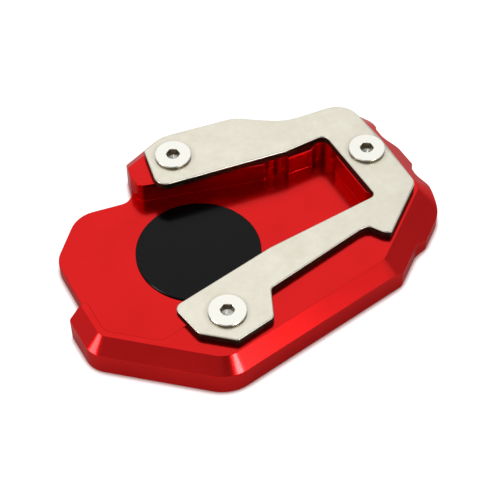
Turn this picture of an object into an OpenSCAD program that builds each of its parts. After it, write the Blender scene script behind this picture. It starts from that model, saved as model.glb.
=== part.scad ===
// Side stand foot enlarger for a motorbike.
// A milled base widens the foot of the stand, which lies in the base's open pocket.
// A flat clamp plate reaches over the foot from both sides and is held by three countersunk screws.
// The underside lies on z = 0, and the origin is at the middle of the part's outer box.

/* [Base] */
// Length of the base
base_l = 120; // [110:1:130]
// Width of the base
base_w = 99; // [90:1:108]
// Full thickness of the base
base_t = 12.5; // [11:0.5:16]
// Thickness that the pocket leaves under the stand's foot
floor_t = 5.2; // [3:0.1:7]
// Width and height of the 45 degree chamfer round the top
chamfer = 4.3; // [2:0.1:5]
// Width of the flat rim between the chamfer and the pocket, on the open side
rim_w = 2.2; // [1.5:0.1:4]
// Radius of the nose between the two long front edges
nose_r = 12.5; // [6:0.5:20]
// Radius of the rim's corner, left of the nose
rim_corner_r = 8; // [6:0.5:12]
// Small 45 degree break on the underside's edges
edge_break = 0.4; // [0.2:0.1:1]

/* [Pocket] */
// Radius that the cutter leaves in the pocket's corners
cutter_r = 4; // [2:0.5:5]
// Radius of the relief bores that clear the corners of the stand's foot
relief_r = 4; // [3:0.1:5]
// How far the relief bores stand back from the pocket's corners
relief_back = 2.7; // [2:0.1:3.5]

/* [Clamp plate] */
// Thickness of the sheet
plate_t = 2.5; // [2:0.1:4]
// Radius of the plate's tumbled top edge
plate_edge_r = 0.5; // [0.2:0.1:0.7]

/* [Screws] */
// Thread diameter
thread_d = 6; // [5:0.5:6.5]
// Head diameter
head_d = 11.5; // [10:0.1:12]
// Height of the plain land at the head's rim
head_land = 0.45; // [0.2:0.05:0.8]
// How far the head stands above the plate
head_proud = 1; // [0.6:0.1:1.4]
// Width across the flats of the hexagon socket
hex_w = 4; // [3:0.5:5]
// Depth of the hexagon socket
hex_depth = 2.4; // [1.5:0.1:2.6]
// Length of thread below the plate
thread_l = 9.5; // [6:0.5:10.5]
// Gap between the thread's outer diameter and the tapped hole
thread_gap = 0.05; // [0.02:0.01:0.2]
// Gap between the thread and the plain hole in the plate
plate_hole_gap = 0.3; // [0.1:0.05:0.5]

/* [Foot pad] */
// Diameter of the stick-on pad on the pocket's floor
pad_d = 39; // [20:1:42]
// Thickness of the pad
pad_t = 0.6; // [0.4:0.1:2]

/* [Grip grooves] */
// Width of the grooves in the underside
groove_w = 3; // [1:0.5:4]
// Depth of the grooves
groove_depth = 0.8; // [0.4:0.1:1.5]

/* [Hidden] */

// Largest turn of an outline between two points of an arc, in degrees
arc_step = 6;
// Segments of the round pieces and bores
round_fn = 72;
// How far a cut runs past the face that it opens
past = 0.6;
// Smallest radius that an outline's corner keeps when it is moved in or out
least_r = 0.1;

// The outlines below are drawn for a base of this length and width, and placed() fits them to the real one.
drawn_l = 120;
drawn_w = 99;
stretch = [base_l / drawn_l, base_w / drawn_w];
function placed(points) = [for (p = points) [for (i = [0:len(p) - 1]) i < 2 ? p[i] * stretch[i] : p[i]]];

// Places of the three screws
screws = placed([[-14.6, -31.6], [-18.5, 32.9], [42.1, 21.7]]);
// Turn of each screw's socket, as it was left by the key
socket_turns = [-14, -11, -15];
// Centre of the foot pad
pad_centre = placed([[-17.1, 0.5]])[0];

// Levels
plate_top = base_t + plate_t;
head_top = plate_top + head_proud;

// Corners of the base, each [x, y, radius], walked anticlockwise.
// The front edges meet at the nose and rise 25 degrees on both sides.
nose_corner = [-17.5, -50.8, nose_r];
rim_corner = [-55.9, -32.9, rim_corner_r];
rim_end = [-60, -19.2, 0.6];
post_corner = [-33.2, 38.5, 1.2];

// The right-hand edge: a stepped straight stretch, a broad bulge and two scalloped humps
right_corners = [
    [41.7, -23.2, 3],
    [48.9, -13.2, 1.5],
    [53.1, -10.6, 2],
    [60.1, -0.9, 9],
    [59.8, 10.2, 3],
    [56.4, 13, 4],
    [56.2, 18.9, 3],
    [58.1, 21.4, 1.2],
    [55.7, 30.2, 3],
    [50.8, 31.9, 3],
    [49.8, 36.6, 1],
    [50.5, 38.4, 0.8],
    [50.3, 42.2, 3.5],
];
// The far edge, which dips in its middle as the clamp plate does
far_corners = [
    [39.6, 49.1, 10.3],
    [20.3, 44.6, 15.7],
    [4.4, 49.7, 10.3],
    [-22.7, 46.3, 12.3],
];
// The thin lobe, left of the post and of the rim's end
lobe_corners = [
    [-33.2, 25.6, 4.5],
    [-51.8, 23.5, 10],
    [-60.6, 6.5, 9],
    [-54.3, -16.5, 4],
];
base_corners = placed(concat(
    [nose_corner], right_corners, far_corners, [post_corner], lobe_corners, [rim_end, rim_corner]
));

// The line that the chamfer cutter follows at the chamfer's width outside its top edge.
// It cuts the corners of the bulge and humps, so the chamfer reaches lower there.
cutter_right = [[39, -24.4, 11.3], [59.8, 4.4, 9.3], [48, 40, 12.3]];
cutter_left = [-69.5, 11.8, 10];
chamfer_corners = placed(concat([nose_corner], cutter_right, far_corners, [cutter_left, rim_corner]));
// Lowest reach of the chamfer cutter below the top face
chamfer_reach = 8.5;

// Corners of the clamp plate, a U that is open to the left
plate_corners = placed([
    [-24.4, -37.3, 3],
    [-13.6, -42.3, 1.5],
    [-1.7, -36.5, 2],
    [-0.1, -25.8, 2],
    [31.5, -9.9, 3],
    [34.4, -9.1, 2.5],
    [38.2, -12.5, 3],
    [40.4, -13.2, 0.9],
    [53.4, 5, 4],
    [48, 25.5, 20],
    [41.2, 43.9, 8],
    [19.6, 40, 18],
    [3.6, 45.2, 6],
    [-20.9, 42.1, 12],
    [-27.2, 37.5, 1.5],
    [-25.7, 21.1, 4],
    [16.9, 26.9, 6],
    [30.7, 31.1, 2.6],
    [39.7, 2.6, 2],
    [3, -10.5, 10],
    [-29.8, -26.3, 2.6],
]);

// Corners of the pocket that don't follow the rim
pocket_points = placed([[-30, -33.1], [39.2, 1.4], [31, 28.6], [13.6, 25], [-31.2, 24.8], [-33.3, 29.8]]);
near_left = pocket_points[0];
near_right = pocket_points[1];
far_right = pocket_points[2];
far_bend = pocket_points[3];
post_front = pocket_points[4];
post_left = pocket_points[5];
// Radius of the post's front corner
post_r = 3;
// The relief bore in the far wall
wall_relief = [far_bend[0], far_bend[1] + 0.6];
// How far the pocket's outline runs past the open side
outside = 20;

// Rows of grip grooves: [left end, right end, y]
groove_rows = [
    [-50, 34, -20],
    [-45, 39, -12],
    [-47, 47, -4],
    [-50, 50, 4],
    [-48, 47, 12],
    [-44, 33, 20],
];

// Plane geometry
function xy(p) = [p[0], p[1]];
function unit(v) = v / norm(v);
function left_of(v) = [-v[1], v[0]];
function turned(v, a) = [v[0] * cos(a) - v[1] * sin(a), v[0] * sin(a) + v[1] * cos(a)];
function before(list, i) = list[(i + len(list) - 1) % len(list)];
function after(list, i) = list[(i + 1) % len(list)];

// The line through a and b, moved to its left by d
function shifted(a, b, d) = [for (p = [a, b]) p + left_of(unit(b - a)) * d];

// Where two lines, each given by two points, cross
function crossing(l, m) =
    let(p = l[1] - l[0], q = m[1] - m[0])
    l[0] + p * cross(m[0] - l[0], q) / cross(p, q);

// Arc that rounds the corner b between a and c with radius r
function corner_arc(a, b, c, r) =
    let(
        u = unit(a - b),
        v = unit(c - b),
        half = acos(u * v) / 2,
        sweep = 2 * (90 - half) * sign(cross(b - a, c - b)),
        steps = max(2, ceil(abs(sweep) / arc_step - 0.01)),
        centre = b + unit(u + v) * r / sin(half),
        start = b + u * r / tan(half) - centre
    )
    [for (k = [0:steps]) centre + turned(start, sweep * k / steps)];

// Points of a closed outline given by its corners [x, y, radius]
function outline(corners) = [
    for (i = [0:len(corners) - 1])
        each corner_arc(xy(before(corners, i)), xy(corners[i]), xy(after(corners, i)), corners[i][2])
];

// The same corners with every edge moved in by d, or out where d is negative
function inset(corners, d) = [
    for (i = [0:len(corners) - 1])
        let(
            p = unit(xy(corners[i]) - xy(before(corners, i))),
            q = unit(xy(after(corners, i)) - xy(corners[i])),
            n = left_of(p),
            m = left_of(q),
            at = xy(corners[i]) + (n + m) * d / (1 + n * m)
        )
        [at[0], at[1], max(corners[i][2] - sign(cross(p, q)) * d, least_r)]
];

// Closed band swept round an outline, for cutting its edge.
// The section is anticlockwise, each point [distance outside the outline, height].
module edge_band(corners, section) {
    m = len(section);
    rings = [for (p = section) outline(inset(corners, -p[0]))];
    n = len(rings[0]);
    points = [for (k = [0:m - 1]) for (p = rings[k]) [p[0], p[1], section[k][1]]];
    faces = [
        for (k = [0:m - 1]) for (i = [0:n - 1])
            let(up = (k + 1) % m, j = (i + 1) % n)
            [k * n + i, up * n + i, up * n + j, k * n + j]
    ];
    polyhedron(points, faces);
}

// Upright walls from height low to height high
module walls(corners, low, high) {
    translate([0, 0, low]) linear_extrude(high - low) polygon(outline(corners));
}

// The pocket's corners, from the rim's end round to the far side of the open end
pocket_wall = chamfer + rim_w;
front = [for (p = placed([rim_end, rim_corner, nose_corner])) xy(p)];
rim_line = shifted(front[0], front[1], pocket_wall);
front_line = shifted(front[1], front[2], pocket_wall);
end_line = [for (p = placed([lobe_corners[3], rim_end])) xy(p)];
near_line = [near_left, near_right];
rim_inner = crossing(rim_line, end_line);
rim_turn = crossing(rim_line, front_line);
boss_turn = crossing(front_line, near_line);
outside_left = -base_l / 2 - outside;
outside_far = base_w / 2;
outside_rim = crossing(end_line, [[outside_left, 0], [outside_left, 1]]);

pocket_corners = [
    concat(rim_inner, 0.5),
    concat(rim_turn, cutter_r),
    concat(boss_turn, cutter_r),
    concat(near_right, cutter_r),
    concat(far_right, cutter_r),
    concat(far_bend, cutter_r),
    concat(post_front, post_r),
    concat(post_left, 0.5),
    [post_left[0] - outside, outside_far, 1],
    [outside_left, outside_far, 1],
    concat(outside_rim, 1),
];

// A relief bore stands on the line that halves its corner
function relief_at(a, b, c) = b + unit(unit(a - b) + unit(c - b)) * relief_back;
reliefs = [
    relief_at(boss_turn, near_right, far_right),
    relief_at(near_right, far_right, far_bend),
    wall_relief,
];

// The pocket, with its relief bores
module pocket_cut() {
    walls(pocket_corners, floor_t, base_t + past);
    for (c = reliefs) translate([c[0], c[1], floor_t])
        cylinder(h = base_t + past - floor_t, r = relief_r, $fn = round_fn);
}

// The slanted cut round the top, which starts at the top face's edge
module chamfer_cut() {
    high = base_t + past;
    low = base_t - chamfer_reach;
    edge_band(chamfer_corners, [[chamfer_reach - chamfer, low], [chamfer_reach + past, high], [-chamfer - past, high]]);
}

// The break round the underside
module underside_cut() {
    reach = edge_break + past;
    edge_band(base_corners, [[-reach, -past], [past, -past], [past, reach]]);
}

// One groove with round ends, cut up into the underside
module groove(row) {
    left = row[0] * stretch[0];
    right = row[1] * stretch[0];
    translate([0, row[2] * stretch[1], -past]) {
        translate([left, -groove_w / 2, 0]) cube([right - left, groove_w, past + groove_depth]);
        for (x = [left, right]) translate([x, 0, 0])
            cylinder(h = past + groove_depth, d = groove_w, $fn = round_fn);
    }
}

module base_plate() {
    color([0.8, 0.1, 0.11]) difference() {
        walls(base_corners, 0, base_t);
        chamfer_cut();
        underside_cut();
        pocket_cut();
        for (s = screws) translate([s[0], s[1], -past])
            cylinder(h = base_t + 2 * past, d = thread_d + 2 * thread_gap, $fn = round_fn);
        for (row = groove_rows) groove(row);
    }
}

// The head's 90 degree cone starts below its land and ends at the thread
cone_top = head_top - head_land;
cone_h = (head_d - thread_d) / 2;
countersink_d = head_d - 2 * (cone_top - plate_top);

module clamp_plate() {
    sink_h = (countersink_d - thread_d) / 2;
    r = plate_edge_r;
    rounding = [for (a = [0:30:90]) [r * sin(a) - r, plate_top + r * cos(a) - r]];
    corner = [[past, plate_top - r], [past, plate_top + past], [-r, plate_top + past]];
    color([0.86, 0.84, 0.78]) difference() {
        walls(plate_corners, base_t, plate_top);
        edge_band(plate_corners, concat(corner, rounding));
        for (s = screws) translate([s[0], s[1], 0]) {
            translate([0, 0, base_t - past])
                cylinder(h = plate_t + 2 * past, d = thread_d + 2 * plate_hole_gap, $fn = round_fn);
            translate([0, 0, plate_top - sink_h])
                cylinder(h = sink_h + past, d1 = thread_d, d2 = countersink_d + 2 * past, $fn = round_fn);
        }
    }
}

// Socket screw with a countersunk head
module screw(turn) {
    edge = 0.15;
    tip = 0.8;
    thread_r = thread_d / 2;
    head_r = head_d / 2;
    low = base_t - thread_l;
    socket_r = hex_w / 2 / cos(30);
    difference() {
        rotate_extrude($fn = round_fn) polygon([
            [0, low],
            [thread_r - tip, low],
            [thread_r, low + tip],
            [thread_r, cone_top - cone_h],
            [head_r, cone_top],
            [head_r, head_top - edge],
            [head_r - edge, head_top],
            [0, head_top],
        ]);
        translate([0, 0, head_top - hex_depth]) rotate(turn)
            cylinder(h = hex_depth + past, r = socket_r, $fn = 6);
        translate([0, 0, head_top - edge])
            cylinder(h = edge + past, r1 = hex_w / 2, r2 = hex_w / 2 + edge + past, $fn = round_fn);
        translate([0, 0, head_top - hex_depth - hex_w / 4])
            cylinder(h = hex_w / 4, r1 = 0, r2 = hex_w / 2, $fn = round_fn);
    }
}

module clamp_screws() {
    color([0.95, 0.95, 0.95]) for (i = [0:len(screws) - 1])
        translate([screws[i][0], screws[i][1], 0]) screw(socket_turns[i]);
}

module foot_pad() {
    edge = pad_t / 4;
    pad_r = pad_d / 2;
    color([0.07, 0.07, 0.08]) translate([pad_centre[0], pad_centre[1], floor_t])
        rotate_extrude($fn = 2 * round_fn)
            polygon([[0, 0], [pad_r, 0], [pad_r, pad_t - edge], [pad_r - edge, pad_t], [0, pad_t]]);
}

base_plate();
clamp_plate();
clamp_screws();
foot_pad();
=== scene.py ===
"""Looks of the side stand foot enlarger: materials, edge breaks, light, floor and camera."""
import math

import bpy
from mathutils import Matrix, Vector

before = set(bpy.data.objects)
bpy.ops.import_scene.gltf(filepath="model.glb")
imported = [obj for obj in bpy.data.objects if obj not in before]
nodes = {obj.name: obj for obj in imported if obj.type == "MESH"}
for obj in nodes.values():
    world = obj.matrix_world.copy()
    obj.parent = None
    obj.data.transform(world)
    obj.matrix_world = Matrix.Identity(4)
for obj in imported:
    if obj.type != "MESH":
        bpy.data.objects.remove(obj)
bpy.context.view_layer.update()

MM = 0.001
FULL_TURN = 2 * math.pi

# Measures of the part, as in the CAD source
BASE_TOP = 12.5 * MM
HEAD_TOP = 16 * MM
HEAD_RADIUS = 5.75 * MM
SCREW_PLACES = [(-14.6 * MM, -31.6 * MM), (-18.5 * MM, 32.9 * MM), (42.1 * MM, 21.7 * MM)]
# Reach of a socket's corners from the screw's axis, and how far below the top its walls get painted
# shade
SOCKET_REACH = 2.45 * MM
SOCKET_LIP = 0.12 * MM
# Turns of an M6 thread on the shank, which starts below the head
THREAD_PITCH = 1.0 * MM
SHANK_TOP = 12.2 * MM
SHANK_CORE = 2.4 * MM
# Spacing of the turning marks on the heads, and width of the ring of painted shade and dirt round
# them
MARK_SPACING = 0.35 * MM
RING_WIDTH = 1.6 * MM
# Depth of the bump of grain and marks
GRAIN_DEPTH = 0.01 * MM

# Edge breaks of the base: the widest, and each kind of edge's share of it
WIDEST_BREAK = 0.5 * MM
SQUARE_SHARE = 0.6
SLANTED_SHARE = 0.14
HOLLOW_SHARE = -0.4
# Square edges this close to the base's top or above get the widest break
TOP_EDGES = 0.2 * MM
# Turns in degrees from which an edge counts as flat, slanted, crisp or square
FLAT_TURN = 1.5
SLANTED_TURN = 35
CRISP_TURN = 40
SQUARE_TURN = 70
# Where the rim ends at the open side, and how far round it the edges have no break
RIM_END = (-59.8 * MM, -19.4 * MM, 0)
RIM_END_REACH = 1.3 * MM
# Points closer than this are joined, before and after the breaks
SPLIT_GAP = 0.03 * MM
SLIVER_GAP = 0.005 * MM

# Reach of the floor's soft shadow, of the dim floor in reflections and of the line of contact
SHADOW_REACH = 20 * MM
MIRROR_REACH = 60 * MM
CONTACT_REACH = 2.5 * MM
FLOOR_SIZE = 4.0
FLOOR_DROP = 0.02 * MM

# Lights: name, azimuth, elevation, width, height and radiance
LIGHT_DISTANCE = 1.2
LIGHTS = [
    # Soft box behind and over the part, seen in all its top faces
    ("overhead_back", 93, 51, 1.1, 0.8, 0.55),
    # Fill from overhead, seen in no face from the front
    ("top", 74, 86, 0.7, 0.6, 0.62),
    # Lights for the long chamfer, the nose and the rim's corner
    ("front_right", -29, 24, 0.55, 0.36, 0.42),
    ("front_wide", -52, 26, 0.32, 0.22, 2.6),
    ("front_strip", -62, 30, 0.26, 0.09, 36),
    ("left_strip", -167, 22, 0.48, 0.20, 12),
    ("left_fill", 160, 12, 0.4, 0.3, 0.2),
]

# The surround's strength, and the cosines between which it fades out towards its dark side
SURROUND = 0.44
DARK_SIDE = (-80, 59)
DARK_FROM, DARK_FULLY = 0.87, 0.96

# Camera at the photograph's place
CAMERA_PLACE = Vector((-63.24, -293.2, 367.16)) * MM
CAMERA_TARGET = Vector((-0.56, 1.7, 0)) * MM
CAMERA_ROLL = math.radians(-0.77)
FOCAL_LENGTH = 108.85
SENSOR_WIDTH = 36


def rgb(r, g, b):
    """A linear colour with its alpha."""
    return (r, g, b, 1.0)


def direction_of(azimuth, elevation):
    """Unit vector from angles in degrees, the azimuth measured from +X towards +Y."""
    a, e = math.radians(azimuth), math.radians(elevation)
    return Vector((math.cos(a) * math.cos(e), math.sin(a) * math.cos(e), math.sin(e)))


def link(tree, value, socket):
    """Feed a socket from another socket or with a plain value."""
    if isinstance(value, bpy.types.NodeSocket):
        tree.links.new(value, socket)
    else:
        socket.default_value = value


def add_node(tree, kind, inputs=None, **settings):
    """Make a node with its settings and its inputs, which go by name or number."""
    made = tree.nodes.new(kind)
    for key, value in settings.items():
        setattr(made, key, value)
    for key, value in (inputs or {}).items():
        link(tree, value, made.inputs[key])
    return made


class Graph:
    """A material's nodes, made one by one and linked by socket name."""

    def __init__(self, name):
        self.material = bpy.data.materials.new(name)
        self.material.use_nodes = True
        self.tree = self.material.node_tree
        self.tree.nodes.clear()
        self.output = self.node("OutputMaterial")
        self.geometry = self.node("NewGeometry")
        self.where = self.geometry.outputs["Position"]

    def node(self, kind, inputs=None, **settings):
        return add_node(self.tree, "ShaderNode" + kind, inputs, **settings)

    def math(self, operation, *values):
        return self.node("Math", dict(enumerate(values)), operation=operation).outputs[0]

    def mix(self, factor, a, b):
        """Colour between two others."""
        return self.node("Mix", {0: factor, 6: a, 7: b}, data_type="RGBA").outputs[2]

    def remap(self, value, low, high, to_low, to_high):
        """The value carried from one range to another, and held within it."""
        inputs = {
            "Value": value, "From Min": low, "From Max": high, "To Min": to_low, "To Max": to_high,
        }
        return self.node("MapRange", inputs).outputs[0]

    def noise(self, vector, scale, detail=2.0, roughness=0.5):
        inputs = {"Vector": vector, "Scale": scale, "Detail": detail, "Roughness": roughness}
        return self.node("TexNoise", inputs).outputs[0]

    def stretched(self, vector, x, y, z):
        """The vector with each axis scaled on its own."""
        return self.node("VectorMath", {0: vector, 1: (x, y, z)}, operation="MULTIPLY").outputs[0]

    def blend(self, a, b, share):
        """Two values mixed, with the given share of the second."""
        return self.math("MULTIPLY_ADD", b, share, self.math("MULTIPLY", a, 1 - share))

    def height(self):
        return self.node("SeparateXYZ", {0: self.where}).outputs[2]

    def upright(self):
        """Upward part of the face's own normal: 1 on a face that looks straight up."""
        return self.node("SeparateXYZ", {0: self.geometry.outputs["True Normal"]}).outputs[2]

    def from_axis(self, x, y):
        """Distance from an upright axis."""
        inputs = {0: self.stretched(self.where, 1, 1, 0), 1: (x, y, 0)}
        return self.node("VectorMath", inputs, operation="DISTANCE").outputs["Value"]

    def screw_distance(self):
        """Distance from the nearest screw's axis."""
        nearest = self.from_axis(*SCREW_PLACES[0])
        for place in SCREW_PLACES[1:]:
            nearest = self.math("MINIMUM", nearest, self.from_axis(*place))
        return nearest

    def screw_turns(self):
        """Turns round the axis of the screw that the point is on."""
        turns = 0.0
        for x, y in SCREW_PLACES:
            inputs = {0: self.where, 1: (x, y, 0)}
            offset = self.node("VectorMath", inputs, operation="SUBTRACT").outputs[0]
            sides = self.node("SeparateXYZ", {0: offset}).outputs
            share = self.math("DIVIDE", self.math("ARCTAN2", sides[1], sides[0]), FULL_TURN)
            own = self.math("LESS_THAN", self.from_axis(x, y), 2 * HEAD_RADIUS)
            turns = self.math("MULTIPLY_ADD", share, own, turns)
        return turns

    def open_sky(self, reach):
        """Share of the sky that nothing hides within a distance."""
        return self.node("AmbientOcclusion", {"Distance": reach}, samples=8).outputs["AO"]

    def bump(self, height, strength, distance=GRAIN_DEPTH, normal=None):
        inputs = {"Height": height, "Strength": strength, "Distance": distance}
        if normal is not None:
            inputs["Normal"] = normal
        return self.node("Bump", inputs).outputs[0]

    def finish(self, shader):
        link(self.tree, shader.outputs[0], self.output.inputs["Surface"])
        return self.material


def red_anodised():
    """Red dyed anodised layer over finely blasted aluminium, with faint cutter marks."""
    g = Graph("red_anodised")
    grain = g.noise(g.where, 5200, 2, 0.6)
    cloud = g.noise(g.where, 70, 3)
    cutter_lines = g.noise(g.stretched(g.where, 60, 60, 2600), 1, 2, 0.6)
    tone = g.remap(g.blend(cloud, grain, 0.35), 0.35, 0.65, 0, 1)
    shader = g.node("BsdfPrincipled", {
        "Base Color": g.mix(tone, rgb(0.69, 0.003, 0.0035), rgb(0.77, 0.005, 0.0055)),
        "Metallic": 1.0,
        "Roughness": g.remap(cloud, 0.3, 0.7, 0.19, 0.24),
        "Normal": g.bump(g.blend(grain, cutter_lines, 0.45), 0.16),
        "Specular Tint": rgb(1.0, 0.40, 0.40),
        "Coat Weight": 0.23,
        "Coat Roughness": 0.14,
        "Coat IOR": 1.6,
    })
    return g.finish(shader)


def tumbled_steel():
    """Tumbled stainless sheet: satin faces, dark cut sides and a faint halo of painted shade and
    dirt round each screw.
    """
    g = Graph("tumbled_steel")
    face = g.remap(g.math("ABSOLUTE", g.upright()), 0.2, 0.6, 0, 1)
    grain = g.noise(g.where, 3800, 3, 0.65)
    cloud = g.noise(g.where, 110, 4, 0.6)
    spots = g.noise(g.where, 480, 2, 0.5)
    tone = g.remap(g.blend(cloud, spots, 0.35), 0.35, 0.65, 0, 1)
    # Painted shade, with some dirt, round each screw head: the sheet darkens towards the head
    shade_and_dirt_ring = g.remap(g.screw_distance(), HEAD_RADIUS, HEAD_RADIUS + RING_WIDTH, 0.45, 0)
    satin = g.mix(tone, rgb(0.85, 0.80, 0.665), rgb(0.94, 0.91, 0.78))
    satin = g.mix(shade_and_dirt_ring, satin, rgb(0.52, 0.48, 0.39))
    # The upright sides are coloured near black, much darker than the faces
    cut_tone = g.remap(spots, 0.3, 0.7, 0, 1)
    cut = g.mix(cut_tone, rgb(0.030, 0.024, 0.015), rgb(0.065, 0.054, 0.037))
    shader = g.node("BsdfPrincipled", {
        "Base Color": g.mix(face, cut, satin),
        "Metallic": 1.0,
        "Roughness": g.remap(face, 0, 1, 0.5, 0.34),
        "Normal": g.bump(grain, 0.2),
    })
    return g.finish(shader)


def turned_steel():
    """Bright turned stainless with faint rings on the heads, and painted shade in the sockets,
    cones and grooves, with oil and dirt in the sockets and under the heads.
    """
    g = Graph("turned_steel")
    height, upright, radius = g.height(), g.upright(), g.screw_distance()
    grain = g.noise(g.where, 3000, 3, 0.6)
    rings = g.math("SINE", g.math("MULTIPLY", radius, FULL_TURN / MARK_SPACING))

    # Painted shade darkens the socket walls, the faces under the heads and the thread's grooves; in
    # the sockets and under the heads it also stands for oil and dirt
    inside = g.math("LESS_THAN", radius, SOCKET_REACH)
    sunk = g.math("LESS_THAN", height, HEAD_TOP - SOCKET_LIP)
    walls = g.math("LESS_THAN", g.math("ABSOLUTE", upright), 0.3)
    socket = g.math("MULTIPLY", g.math("MULTIPLY", inside, sunk), walls)
    below = g.math("LESS_THAN", upright, -0.2)

    below_head = g.math("LESS_THAN", height, SHANK_TOP)
    shank = g.math("MULTIPLY", below_head, g.math("GREATER_THAN", radius, SHANK_CORE))
    helix = g.math("ADD", g.math("DIVIDE", height, THREAD_PITCH), g.screw_turns())
    crest = g.math("MULTIPLY", g.math("PINGPONG", helix, 0.5), shank)
    groove = g.math("MULTIPLY", g.remap(crest, 0, 0.3, 0.8, 0), shank)

    # Where the painted shade goes
    shade_and_grime = g.math("MAXIMUM", g.math("MAXIMUM", socket, below), groove)
    tone = g.remap(grain, 0.3, 0.7, 0, 1)
    bright = g.mix(tone, rgb(0.97, 0.955, 0.865), rgb(1.0, 0.995, 0.93))
    finish_marks = g.bump(g.blend(grain, rings, 0.5), 0.14)
    shader = g.node("BsdfPrincipled", {
        "Base Color": g.mix(shade_and_grime, bright, rgb(0.30, 0.26, 0.20)),
        "Metallic": 1.0,
        "Roughness": 0.24,
        "Normal": g.bump(crest, 1.0, THREAD_PITCH, finish_marks),
    })
    return g.finish(shader)


def black_film():
    """Smooth black face of the pad, rougher at its cut edge."""
    g = Graph("black_film")
    edge = g.remap(g.math("ABSOLUTE", g.upright()), 0.3, 0.8, 1, 0)
    grain = g.noise(g.where, 2200, 3, 0.6)
    cloud = g.noise(g.where, 90, 3, 0.5)
    shader = g.node("BsdfPrincipled", {
        "Base Color": g.mix(grain, rgb(0.0006, 0.0006, 0.0006), rgb(0.0014, 0.0014, 0.0014)),
        "Roughness": g.math("MAXIMUM", edge, g.remap(cloud, 0.3, 0.7, 0.14, 0.20)),
        "Specular IOR Level": 0.15,
        "Normal": g.bump(grain, 0.05),
    })
    return g.finish(shader)


MATERIALS = {
    "base_plate": red_anodised,
    "clamp_plate": tumbled_steel,
    "clamp_screws": turned_steel,
    "foot_pad": black_film,
}
for name, make in MATERIALS.items():
    data = nodes[name].data
    data.materials.clear()
    data.materials.append(make())


class Shape:
    """A geometry node group that passes a mesh through a chain of nodes."""

    def __init__(self, name):
        self.tree = bpy.data.node_groups.new(name, "GeometryNodeTree")
        for way in ("INPUT", "OUTPUT"):
            self.tree.interface.new_socket("Geometry", in_out=way, socket_type="NodeSocketGeometry")
        self.last = self.tree.nodes.new("NodeGroupInput").outputs[0]

    def node(self, kind, inputs=None, **settings):
        return add_node(self.tree, kind, inputs, **settings)

    def step(self, kind, inputs=None, **settings):
        """Add a node to the chain that the mesh passes through."""
        made = self.node("GeometryNode" + kind, inputs, **settings)
        self.tree.links.new(self.last, made.inputs[0])
        self.last = made.outputs[0]

    def math(self, operation, a, b):
        return self.node("ShaderNodeMath", {0: a, 1: b}, operation=operation).outputs[0]

    def edge_angle(self, kind):
        return self.node("GeometryNodeInputMeshEdgeAngle").outputs[kind]

    def sharper_than(self, degrees):
        """1 on edges that turn by more than the angle, otherwise 0."""
        return self.math("GREATER_THAN", self.edge_angle("Unsigned Angle"), math.radians(degrees))

    def hollower_than(self, degrees):
        """1 on inner edges that turn by more than the angle, otherwise 0."""
        return self.math("LESS_THAN", self.edge_angle("Signed Angle"), -math.radians(degrees))

    def finish(self):
        self.tree.links.new(self.last, self.tree.nodes.new("NodeGroupOutput").inputs[0])
        return self.tree


def joined_shape():
    """Joins the solids' split points and shades every face smooth."""
    shape = Shape("joined")
    shape.step("MergeByDistance", {"Distance": SPLIT_GAP})
    shape.step("RemoveAttribute", {"Name": "custom_normal"})
    shape.step("SetShadeSmooth", {"Shade Smooth": True})
    return shape.finish()


def crisp_shape():
    """Clears slivers left by the breaks, and keeps the edges crisp that still turn sharply."""
    shape = Shape("crisp")
    shape.step("MergeByDistance", {"Distance": SLIVER_GAP})
    inputs = {"Selection": shape.sharper_than(CRISP_TURN), "Shade Smooth": False}
    shape.step("SetShadeSmooth", inputs, domain="EDGE")
    return shape.finish()


def break_shape():
    """Share of the widest break that each edge of the base gets.

    The edges round the base's top face and the pocket's mouth get all of it.
    """
    shape = Shape("breaks")
    place = shape.node("GeometryNodeInputPosition").outputs[0]
    height = shape.node("ShaderNodeSeparateXYZ", {0: place}).outputs[2]
    inputs = {0: place, 1: (1, 1, 0)}
    flat = shape.node("ShaderNodeVectorMath", inputs, operation="MULTIPLY").outputs[0]
    inputs = {0: flat, 1: RIM_END}
    away = shape.node("ShaderNodeVectorMath", inputs, operation="DISTANCE").outputs["Value"]
    square = shape.sharper_than(SQUARE_TURN)
    slanted = shape.math("MULTIPLY", shape.sharper_than(SLANTED_TURN), SLANTED_SHARE)
    hollow = shape.math("MULTIPLY", shape.hollower_than(SLANTED_TURN), HOLLOW_SHARE)
    at_top = shape.math("GREATER_THAN", height, BASE_TOP - TOP_EDGES)
    mouth = shape.math("MULTIPLY", square, at_top)
    share = shape.math("MAXIMUM", slanted, shape.math("MULTIPLY", square, SQUARE_SHARE))
    share = shape.math("ADD", shape.math("MAXIMUM", share, mouth), hollow)
    share = shape.math("MULTIPLY", share, shape.math("GREATER_THAN", away, RIM_END_REACH))
    inputs = {"Name": "bevel_weight_edge", "Value": share}
    shape.step("StoreNamedAttribute", inputs, data_type="FLOAT", domain="EDGE")
    return shape.finish()


# Edge breaks and smooth shading, by modifiers alone, so the CAD meshes stay as they are
joined, crisp = joined_shape(), crisp_shape()
for name in MATERIALS:
    piece = nodes[name]
    piece.modifiers.new("joined", "NODES").node_group = joined
    flat = piece.modifiers.new("flat", "DECIMATE")
    flat.decimate_type = "DISSOLVE"
    flat.angle_limit = math.radians(FLAT_TURN)
    if name == "base_plate":
        piece.modifiers.new("breaks", "NODES").node_group = break_shape()
        edge = piece.modifiers.new("edge", "BEVEL")
        edge.width = WIDEST_BREAK
        edge.segments = 2
        edge.use_clamp_overlap = False
        edge.limit_method = "WEIGHT"
    piece.modifiers.new("crisp", "NODES").node_group = crisp
    piece.modifiers.new("normals", "WEIGHTED_NORMAL").keep_sharp = True


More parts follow.
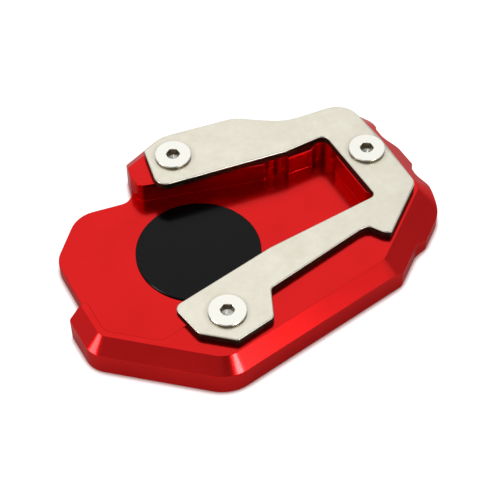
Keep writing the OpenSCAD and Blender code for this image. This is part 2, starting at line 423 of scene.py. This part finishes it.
def pale_floor():
    """White to the camera and in reflections, with the object's shadow kept.

    It glows a little less near the part, and hardly where the part touches it, with a painted red
    bounce light there.
    In reflections it is pale from afar, dim near the part, and lit under it.
    """
    g = Graph("pale_floor")
    path = g.node("LightPath")
    near_sky, wide_sky, touch_sky = map(g.open_sky, (SHADOW_REACH, MIRROR_REACH, CONTACT_REACH))

    touch = g.remap(touch_sky, 0.5, 0.78, 0.15, 1)
    # Painted red light, as if bounced from the part onto the floor where they touch
    painted_red_bounce = g.mix(touch, rgb(1.0, 0.55, 0.52), rgb(1, 1, 1))
    white = g.math("MULTIPLY", g.math("MULTIPLY_ADD", near_sky, 0.22, 0.70), touch)
    shown = g.math("MULTIPLY", path.outputs["Is Camera Ray"], white)

    mirrored = g.math("MAXIMUM", path.outputs["Is Glossy Ray"], path.outputs["Is Transmission Ray"])
    open_floor = g.math("MULTIPLY", g.math("POWER", wide_sky, 6.0), 0.3)
    covered = g.remap(wide_sky, 0, 0.04, 0.45, 0)
    veiled = g.math("MULTIPLY", mirrored, g.math("MAXIMUM", open_floor, covered))

    paper = g.mix(g.noise(g.where, 40), rgb(0.61, 0.61, 0.605), rgb(0.65, 0.65, 0.645))
    plain = g.node("BsdfDiffuse", {"Color": paper})
    glow = g.node("Emission", {"Color": painted_red_bounce, "Strength": g.math("MAXIMUM", shown, veiled)})
    both = g.node("AddShader", {0: plain.outputs[0], 1: glow.outputs[0]})
    clear = g.node("BsdfTransparent")
    underside = g.geometry.outputs["Backfacing"]
    return g.finish(g.node("MixShader", {0: underside, 1: both.outputs[0], 2: clear.outputs[0]}))


# The floor lies a hair under the part, and its underside isn't seen
bpy.ops.mesh.primitive_plane_add(size=FLOOR_SIZE, location=(0, 0, -FLOOR_DROP))
floor = bpy.context.object
floor.name = "floor"
floor.data.materials.append(pale_floor())


def area_light(name, azimuth, elevation, width, height, radiance):
    """Soft light that faces the part."""
    away = direction_of(azimuth, elevation)
    data = bpy.data.lights.new(name, "AREA")
    data.shape = "RECTANGLE"
    data.size, data.size_y = width, height
    data.energy = radiance * math.pi * width * height
    light = bpy.data.objects.new(name, data)
    light.location = away * LIGHT_DISTANCE
    light.rotation_euler = away.to_track_quat("Z", "Y").to_euler()
    bpy.context.scene.collection.objects.link(light)


for settings in LIGHTS:
    area_light(*settings)


def studio_world():
    """Even pale surround, dark above the near side where the photographer stands.

    To the camera itself it is white all round.
    """
    made = bpy.data.worlds.new("studio")
    made.use_nodes = True
    tree = made.node_tree
    direction = add_node(tree, "ShaderNodeTexCoord").outputs["Generated"]
    inputs = {0: direction, 1: direction_of(*DARK_SIDE)}
    toward = add_node(tree, "ShaderNodeVectorMath", inputs, operation="DOT_PRODUCT")
    inputs = {
        "Value": toward.outputs["Value"],
        "From Min": DARK_FROM, "From Max": DARK_FULLY, "To Min": SURROUND, "To Max": 0.0,
    }
    fade = add_node(tree, "ShaderNodeMapRange", inputs, interpolation_type="SMOOTHSTEP").outputs[0]
    seen = add_node(tree, "ShaderNodeLightPath").outputs["Is Camera Ray"]
    strength = add_node(tree, "ShaderNodeMath", {0: fade, 1: seen}, operation="MAXIMUM")
    background = tree.nodes["Background"]
    background.inputs["Color"].default_value = rgb(1, 1, 1)
    link(tree, strength.outputs[0], background.inputs["Strength"])
    return made


bpy.context.scene.world = studio_world()

camera_data = bpy.data.cameras.new("camera")
camera_data.sensor_width = SENSOR_WIDTH
camera_data.lens = FOCAL_LENGTH
camera = bpy.data.objects.new("camera", camera_data)
look = (CAMERA_TARGET - CAMERA_PLACE).to_track_quat("-Z", "Y").to_matrix()
turn = look @ Matrix.Rotation(CAMERA_ROLL, 3, "Z")
camera.matrix_world = Matrix.Translation(CAMERA_PLACE) @ turn.to_4x4()
bpy.context.scene.collection.objects.link(camera)
bpy.context.scene.camera = camera
bpy.context.scene.view_settings.view_transform = "Standard"
